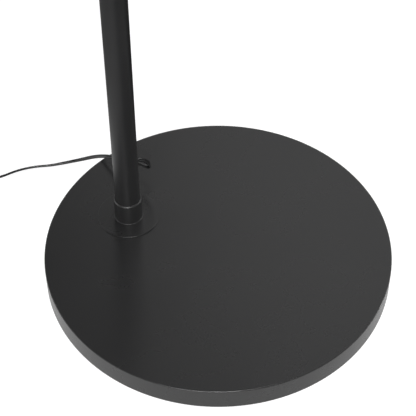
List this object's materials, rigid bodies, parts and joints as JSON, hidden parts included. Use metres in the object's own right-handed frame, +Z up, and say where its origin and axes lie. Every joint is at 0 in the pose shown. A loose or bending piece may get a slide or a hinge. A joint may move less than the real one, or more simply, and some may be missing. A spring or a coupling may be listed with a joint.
{
  "type": "gooseneck reading floor lamp",
  "caption": "Floor lamp: heavy round base, off-centre sectional pole, bendable gooseneck, slim level light head with a push button, and a thin plug-in lead.",
  "frame": {"origin": "centre of the base's flat underside, on the floor", "axes": "+Z up along the pole; +X from the pole across the base, the way the bent neck and the head reach; +Y completes the right-handed frame, and the lead leaves the pole towards it"},
  "size_m": [0.8303, 0.305, 1.4732],
  "materials": {
    "satin_black": "satin",
    "neck_black": "satin",
    "head_black": "satin",
    "cement": "matte",
    "pad_foam": "matte",
    "zinc_steel": "satin",
    "black_rubber": "satin",
    "spreader_aluminium": "satin",
    "board_white": "matte",
    "chip_yellow": "satin",
    "driver_white": "matte",
    "opal_plastic": "satin",
    "switch_black": "matte",
    "button_black": "satin",
    "adapter_black": "matte",
    "blade_brass": "polished"
  },
  "bodies": {
    "stand": {"base_cover": "satin_black", "base_ballast": "cement", "base_pad": "pad_foam", "base_bolt": "zinc_steel", "pole_socket": "satin_black", "pole_lower": "satin_black", "pole_middle": "satin_black", "pole_upper": "satin_black", "cord_bushing": "black_rubber", "pole_lead": "black_rubber", "neck_root": "neck_black", "supply_lead": "black_rubber", "supply_lead_coil": "black_rubber", "adapter_relief": "black_rubber", "adapter_housing": "adapter_black", "adapter_blades": "blade_brass"},
    "neck_link_1": {"neck_link_1": "neck_black"},
    "neck_link_2": {"neck_link_2": "neck_black"},
    "neck_link_3": {"neck_link_3": "neck_black"},
    "neck_link_4": {"neck_link_4": "neck_black"},
    "neck_link_5": {"neck_link_5": "neck_black"},
    "neck_link_6": {"neck_link_6": "neck_black"},
    "neck_link_7": {"neck_link_7": "neck_black"},
    "neck_link_8": {"neck_link_8": "neck_black"},
    "head": {"neck_end": "neck_black", "head_housing": "head_black", "heat_spreader": "spreader_aluminium", "light_board": "board_white", "light_chips": "chip_yellow", "driver": "driver_white", "diffuser": "opal_plastic", "button_switch": "switch_black"},
    "power_button": {"power_button": "button_black"}
  },
  "joints": [
    {"name": "neck_bend_1", "type": "hinge", "parent": "stand", "child": "neck_link_1", "pos_m": [-0.0889, 0, 1.197], "axis": [0, 1, 0], "range_deg": [-30, 20]},
    {"name": "neck_swing_2", "type": "hinge", "parent": "neck_link_1", "child": "neck_link_2", "pos_m": [-0.08004, 0, 1.24723], "axis": [0.9659, 0, -0.2588], "range_deg": [-25, 25]},
    {"name": "neck_bend_3", "type": "hinge", "parent": "neck_link_2", "child": "neck_link_3", "pos_m": [-0.0626, 0, 1.29515], "axis": [0, 1, 0], "range_deg": [-30, 20]},
    {"name": "neck_bend_4", "type": "hinge", "parent": "neck_link_3", "child": "neck_link_4", "pos_m": [-0.0371, 0, 1.33932], "axis": [0, 1, 0], "range_deg": [-30, 20]},
    {"name": "neck_swing_5", "type": "hinge", "parent": "neck_link_4", "child": "neck_link_5", "pos_m": [-0.00432, 0, 1.37839], "axis": [0.7071, 0, -0.7071], "range_deg": [-25, 25]},
    {"name": "neck_bend_6", "type": "hinge", "parent": "neck_link_5", "child": "neck_link_6", "pos_m": [0.03475, 0, 1.41117], "axis": [0, 1, 0], "range_deg": [-30, 20]},
    {"name": "neck_bend_7", "type": "hinge", "parent": "neck_link_6", "child": "neck_link_7", "pos_m": [0.07892, 0, 1.43667], "axis": [0, 1, 0], "range_deg": [-30, 20]},
    {"name": "neck_swing_8", "type": "hinge", "parent": "neck_link_7", "child": "neck_link_8", "pos_m": [0.12684, 0, 1.45411], "axis": [0.2588, 0, -0.9659], "range_deg": [-25, 25]},
    {"name": "neck_bend_9", "type": "hinge", "parent": "neck_link_8", "child": "head", "pos_m": [0.17707, 0, 1.46297], "axis": [0, 1, 0], "range_deg": [-30, 20]},
    {"name": "button_press", "type": "slide", "parent": "head", "child": "power_button", "axis": [0, 0, -1], "range_m": [0, 0.0008], "stiffness_N_per_m": 1500, "springref_m": -0.0003}
  ]
}
